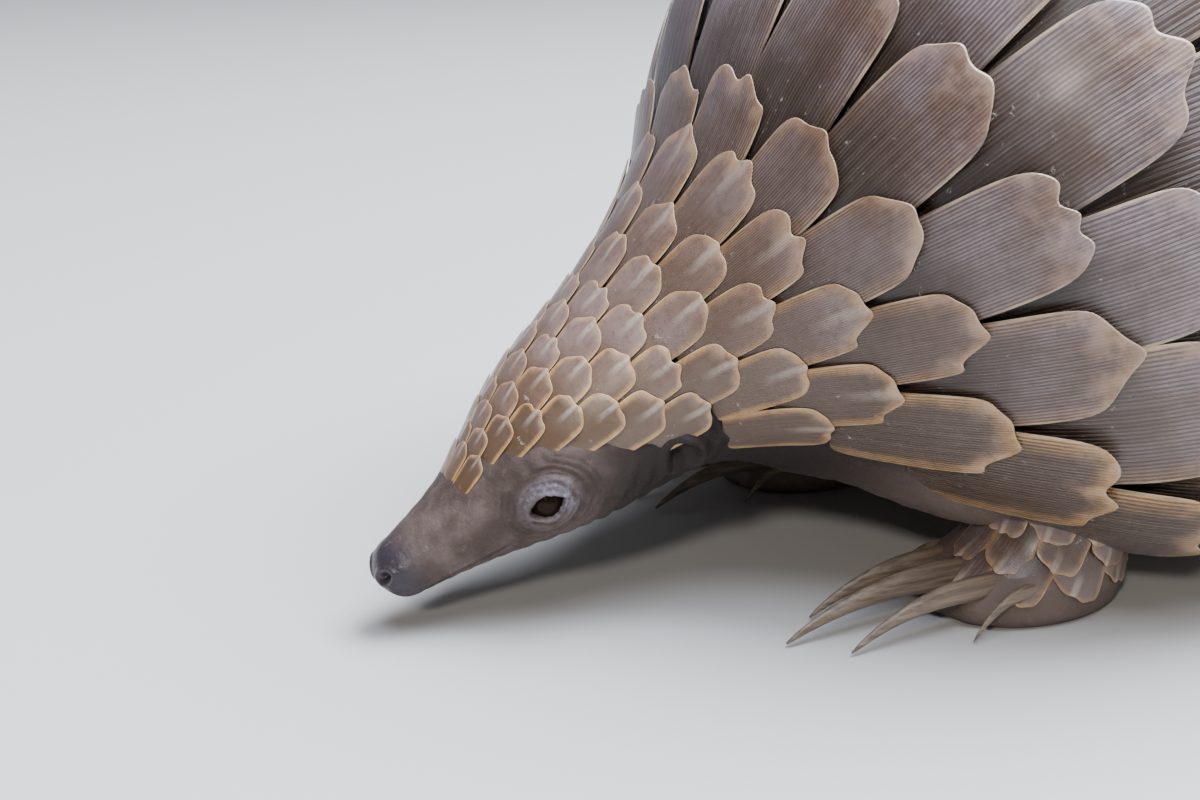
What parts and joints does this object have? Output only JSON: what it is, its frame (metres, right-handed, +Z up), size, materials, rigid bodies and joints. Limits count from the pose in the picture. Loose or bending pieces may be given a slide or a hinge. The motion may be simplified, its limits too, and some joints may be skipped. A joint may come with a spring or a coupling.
{
  "type": "pangolin",
  "caption": "Life-size adult ground pangolin foraging with its nose to the ground, its back and tail covered in overlapping horn scales; a still, unjointed museum model.",
  "frame": {"origin": "on the floor, in the middle of the animal's length and width", "axes": "+X from the nose to the tip of the tail, -Y the animal's left side, +Z up"},
  "size_m": [0.8778, 0.231, 0.2283],
  "materials": {
    "horn_scales": "satin keratin scales, dark brown to grey-brown with fine lengthwise ridges and pale worn rims",
    "bare_skin": "bare wrinkled skin, dark brown to bluish grey, nearly matt",
    "claws": "worn horn, tan to grey-brown, satin",
    "eyes": "wet, near-black, glossy"
  },
  "bodies": {
    "root": {"head": "horn_scales", "neck": "horn_scales", "torso": "horn_scales", "tail_base": "horn_scales", "tail_tip": "horn_scales", "eye_left": "eyes", "ear_left": "bare_skin", "foreleg_left": "bare_skin", "forefoot_left": "bare_skin", "hindleg_left": "bare_skin", "hindfoot_left": "bare_skin", "forefoot_left_claw_1": "claws", "forefoot_left_claw_2": "claws", "forefoot_left_claw_3": "claws", "forefoot_left_claw_4": "claws", "forefoot_left_claw_5": "claws", "hindfoot_left_claw_1": "claws", "hindfoot_left_claw_2": "claws", "hindfoot_left_claw_3": "claws", "hindfoot_left_claw_4": "claws", "hindfoot_left_claw_5": "claws", "eye_right": "eyes", "ear_right": "bare_skin", "foreleg_right": "bare_skin", "forefoot_right": "bare_skin", "hindleg_right": "bare_skin", "hindfoot_right": "bare_skin", "forefoot_right_claw_1": "claws", "forefoot_right_claw_2": "claws", "forefoot_right_claw_3": "claws", "forefoot_right_claw_4": "claws", "forefoot_right_claw_5": "claws", "hindfoot_right_claw_1": "claws", "hindfoot_right_claw_2": "claws", "hindfoot_right_claw_3": "claws", "hindfoot_right_claw_4": "claws", "hindfoot_right_claw_5": "claws"}
  },
  "joints": []
}
